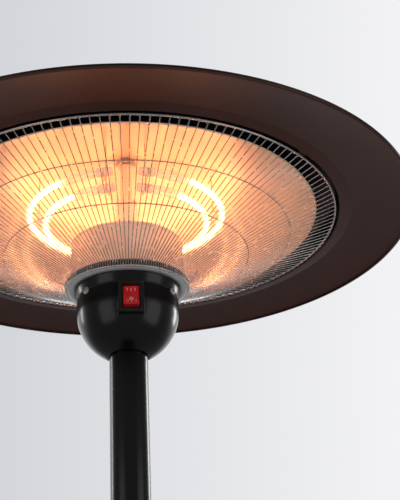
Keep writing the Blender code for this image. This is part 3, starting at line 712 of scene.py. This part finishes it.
# Rectangle rings joined into a frame, each ring being half width, half height, distance from the axis and
# corner radius
def frameRings(rings, corner=6):
    rows = []
    for halfWide, halfTall, out, radius in rings:
        points = softOutline([(halfWide, -halfTall, radius), (halfWide, halfTall, radius),
                              (-halfWide, halfTall, radius), (-halfWide, -halfTall, radius)], steps=corner)
        rows.append(np.stack([points[:, 0], np.full(len(points), -out), points[:, 1] + switchHeight], -1))
    return np.stack(rows, 0)


def buildSwitch():
    halfWide, halfTall = switch["half"]
    openWide, openTall = switch["window"]
    face = switch["face"]
    rings = [(halfWide, halfTall, switch["skirt"], 0.0010), (halfWide, halfTall, face - 0.0007, 0.0010),
             (halfWide - 0.0003, halfTall - 0.0003, face - 0.0002, 0.0010),
             (halfWide - 0.0007, halfTall - 0.0007, face, 0.0010),
             (openWide + 0.0018, openTall + 0.0016, face, 0.0008),
             (openWide + 0.0014, openTall + 0.0012, face + 0.0004, 0.0008),
             (openWide + 0.0007, openTall + 0.0006, face + 0.0004, 0.0006),
             (openWide, openTall, face - 0.0010, 0.0004),
             (openWide, openTall, 0.0411, 0.0004), (openWide * 0.02, openTall * 0.02, 0.0411, 0.00001),
             (openWide * 0.02, openTall * 0.02, 0.0301, 0.00001), (0.0107, 0.0138, 0.0301, 0.0004),
             (0.0107, 0.0138, switch["skirt"] - 0.0001, 0.0004)]
    grid = frameRings(rings)
    makePiece("switchBezel", grid, gridFaces(*grid.shape[:2], True, True), blackNylon, ("switch_housing",),
              sharp=30)


# Rocker: across its height the face is two slopes meeting in the middle; its sides are straight, with
# soft edges
def rockerGrid():
    top, end = rocker["top"], rocker["end"]
    side = softOutline([(top, end, 0.0007), (rocker["middle"], 0.0, 0.030), (top, -end, 0.0007),
                        (0.0010, -0.0108, 0.001),
                        (-0.0025, -0.0060, 0.001), (-0.0025, 0.0060, 0.001), (0.0010, 0.0108, 0.001)],
                       steps=8)
    half, soft = rocker["half"], rocker["soft"]
    rows = []
    for x, inset in ((-half, soft), (-half + soft * 0.3, soft * 0.3), (-half + soft, 0), (half - soft, 0),
                     (half - soft * 0.3, soft * 0.3), (half, soft)):
        middle = np.array((0.0015, 0.0))
        away = side - middle
        length = np.linalg.norm(away, axis=1, keepdims=True)
        ring = side - away / length * inset
        rows.append(np.stack([np.full(len(ring), x), -ring[:, 0], ring[:, 1]], -1))
    return np.stack(rows, 0)


# Turns points about the rocker's pins to the pressed position it is stored in
def tiltedOnPins(points):
    turn = math.radians(-switch["tilt"])
    x, y, z = points[..., 0], points[..., 1], points[..., 2]
    return np.stack([x, y * math.cos(turn) - z * math.sin(turn) - switch["pivot"],
                     y * math.sin(turn) + z * math.cos(turn) + switchHeight], -1)


# The rocker, and marks on its faces 0.15 mm thick: a bar for on, a ring for off and five small ticks
def buildRocker():
    grid = tiltedOnPins(rockerGrid())
    rows, count = grid.shape[:2]
    faces = [list(f) for f in gridFaces(rows, count, False, True)]
    faces += [list(range(count - 1, -1, -1)), list(range((rows - 1) * count, rows * count))]
    makePiece("rockerPaddle", grid, faces, redRocker, ("rocker_button",), body="rocker", sharp=30)
    slope = (rocker["top"] - rocker["middle"]) / rocker["end"]

    def onFace(x, z, lift):
        return np.stack([x, -(0.00535 + slope * np.abs(z) + lift), z], -1)

    def markBar(name, x0, z0, halfWide, halfTall):
        x = np.array([-1, 1, 1, -1]) * halfWide + x0
        z = np.array([-1, -1, 1, 1]) * halfTall + z0
        grid = tiltedOnPins(np.stack([onFace(x, z, -0.0001), onFace(x, z, 0.00015)], 0))
        barFaces = [list(f) for f in gridFaces(2, 4, False, True)] + [[3, 2, 1, 0], [4, 5, 6, 7]]
        makePiece(name, grid, barFaces, whiteInk, body="rocker")

    markBar("markOn", 0.0, 0.0060, 0.0004, 0.0018)
    for number, (x0, z0, halfTall) in enumerate(((-0.0037, 0.0062, 0.0017), (0.0037, 0.0062, 0.0017),
                                                 (-0.0034, -0.0066, 0.0008), (0.0044, -0.0066, 0.0008),
                                                 (0.0, -0.0080, 0.0005)), 1):
        markBar(f"markTick{number}", x0, z0, 0.00028, halfTall)
    angle = np.linspace(0, 2 * math.pi, 40, endpoint=False)
    rings = []
    for radius, lift in ((0.0011, -0.0001), (0.0011, 0.00015), (0.0019, 0.00015), (0.0019, -0.0001)):
        rings.append(onFace(radius * np.cos(angle), radius * np.sin(angle) - 0.0040, lift))
    grid = tiltedOnPins(np.stack(rings, 0))
    makePiece("markOff", grid, gridFaces(4, 40, True, True), whiteInk, body="rocker")


buildSwitch()
buildRocker()
print("bowl and switch built")

pole = {"radius": 0.019, "bore": 0.0178}


def buildPole():
    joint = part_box("upper_pole")[0].z
    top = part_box("upper_pole")[1].z
    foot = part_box("lower_pole")[0].z
    radius, bore = pole["radius"], pole["bore"]
    for name, node, low, high in (("upperPole", "upper_pole", joint, top),
                                  ("lowerPole", "lower_pole", foot, joint - 0.0003)):
        turnedPiece(name, [(radius, low, 0.0004), (radius, high, 0.0004), (bore, high, 0.0002),
                           (bore, low, 0.0002)],
                    glossEnamel, (node,), 128, 0.0)


buildPole()

base = {"radius": 0.150, "wall": 0.0015}


def buildBase():
    over = [(0.150, 0.0045, 0.0005), (0.150, 0.0205, 0.006), (0.1440, 0.0280, 0.010), (0.100, 0.0352, 0.15),
            (0.060, 0.0412, 0.08), (0.0330, 0.0480, 0.03), (0.0225, 0.0560, 0.012), (0.0208, 0.0680, 0.0006)]
    under = [(0.0194, 0.0680, 0.0004), (0.0210, 0.0558, 0.010), (0.0320, 0.0466, 0.03),
             (0.0595, 0.0398, 0.08), (0.0995, 0.0338, 0.15), (0.1430, 0.0266, 0.008), (0.1485, 0.0198, 0.005),
             (0.1485, 0.0045, 0.0004)]
    turnedPiece("baseCover", over + under, glossEnamel, ("base_cover",), 256, 0.0, 6)
    turnedPiece("footRing", [(0.144, 0.0, 0.0008), (0.144, 0.0040, 0.0005), (0.120, 0.0040, 0.0005),
                             (0.120, 0.0, 0.0008)],
                blackRubber, ("foot_ring",), 192, 0.0)


buildBase()
print("pole and base built")

studio = {"floor": "dcdde0", "skyLeft": "cdd0d5", "skyRight": "f2f2f4", "wall": "f0f1f4", "wallFar": 1.1,
          "wallNear": 0.19}


def buildStudio():
    half = 6.0
    points = [(-half, -half, 0), (half, -half, 0), (half, half, 0), (-half, half, 0)]
    mesh = bpy.data.meshes.new("studioFloor")
    mesh.from_pydata(points, [], [(0, 1, 2, 3)])
    floor = bpy.data.objects.new("studioFloor", mesh)
    bpy.context.scene.collection.objects.link(floor)
    material, tree, shader, place = startMaterial("paleFloor", studio["floor"], 0.55)
    mottling = noiseAt(tree, place, 0.4, 2.0)
    tree.links.new(spread(tree, mottling, 0.5, 0.62), shader.inputs["Roughness"])
    mesh.materials.append(material)
    floor.visible_glossy = False
    floor.visible_diffuse = False
    bpy.context.scene.view_settings.view_transform = "Standard"

    world = bpy.data.worlds.new("studioSky")
    bpy.context.scene.world = world
    world.use_nodes = True
    tree = world.node_tree
    tree.nodes.clear()
    direction = addNode(tree, "ShaderNodeTexCoord").outputs["Generated"]
    parts = addNode(tree, "ShaderNodeSeparateXYZ", {0: direction})
    toBack = spread(tree, parts.outputs[1], 0.0, studio["wallFar"], 0.25, 0.9)
    above = spread(tree, parts.outputs[2], 0.0, 1.0, -0.3, 0.05)
    wall = addNode(tree, "ShaderNodeMath", {0: toBack, 1: above}, operation="MULTIPLY").outputs[0]
    lit = addNode(tree, "ShaderNodeMath", {0: wall, 1: studio["wallNear"]}, operation="ADD").outputs[0]
    seen = addNode(tree, "ShaderNodeBackground", {"Color": tintBetween(
        tree, spread(tree, parts.outputs[0], 0.0, 1.0, -0.12, 0.30), studio["skyLeft"], studio["skyRight"])})
    room = addNode(tree, "ShaderNodeBackground", {"Color": hexColour(studio["wall"]), "Strength": lit})
    camera = addNode(tree, "ShaderNodeLightPath").outputs["Is Camera Ray"]
    both = addNode(tree, "ShaderNodeMixShader", {0: camera, 1: room.outputs[0], 2: seen.outputs[0]})
    addNode(tree, "ShaderNodeOutputWorld", {"Surface": both.outputs[0]})


# A soft rectangle of light at a place, aimed at a point, with its size and power
def addSoftbox(name, place, target, size, power):
    light = bpy.data.lights.new(name, "AREA")
    light.shape = "RECTANGLE"
    light.size, light.size_y = size
    light.energy = power
    lamp = bpy.data.objects.new(name, light)
    bpy.context.scene.collection.objects.link(lamp)
    lamp.location = place
    lamp.rotation_euler = (Vector(target) - Vector(place)).to_track_quat("-Z", "Y").to_euler()


# away and below: from the head's axis and from the rim, to the camera
view = {"yaw": 4.364, "pitch": 25.562, "roll": -2.782, "away": 0.9872, "below": 0.4951, "lens": 76.42}


# The camera stands in front of and below the head and looks up at it; angles in degrees
def buildCamera():
    yaw, pitch, roll = (math.radians(view[key]) for key in ("yaw", "pitch", "roll"))
    ahead = Vector((math.sin(yaw) * math.cos(pitch), math.cos(yaw) * math.cos(pitch), math.sin(pitch)))
    right = Vector((math.cos(yaw), -math.sin(yaw), 0))
    above = right.cross(ahead)
    tiltRight = right * math.cos(roll) + above * math.sin(roll)
    tiltAbove = above * math.cos(roll) - right * math.sin(roll)
    data = bpy.data.cameras.new("studioCamera")
    data.sensor_width = 36.0
    data.lens = view["lens"]
    data.clip_start, data.clip_end = 0.01, 60
    camera = bpy.data.objects.new("studioCamera", data)
    bpy.context.scene.collection.objects.link(camera)
    turn = Matrix((tiltRight, tiltAbove, -ahead)).transposed().to_4x4()
    spot = Matrix.Translation((0, -view["away"], rim - view["below"]))
    camera.matrix_world = Matrix.Rotation(headTurn, 4, "Z") @ spot @ turn
    bpy.context.scene.camera = camera


buildStudio()
headMiddle = (0, 0, rim - 0.05)
addSoftbox("softboxLeft", (-2.6, -2.0, 0.2), headMiddle, (2.0, 2.6), 10)
addSoftbox("softboxRight", (2.6, -1.8, 0.2), headMiddle, (2.0, 2.6), 12)
addSoftbox("softboxBackRight", (2.4, 1.8, 1.45), headMiddle, (0.6, 1.1), 16)
addSoftbox("softboxBackLeft", (-2.4, 1.8, 1.45), headMiddle, (0.3, 1.1), 8)
addSoftbox("softboxLow", (0, -1.5, 0.15), headMiddle, (1.6, 0.8), 15)
bpy.data.objects["softboxLow"].visible_glossy = False
addSoftbox("softboxTop", (0.3, 0.8, 3.2), (0, 0, 0.4), (2.4, 2.0), 45)
buildCamera()
print("studio ready")
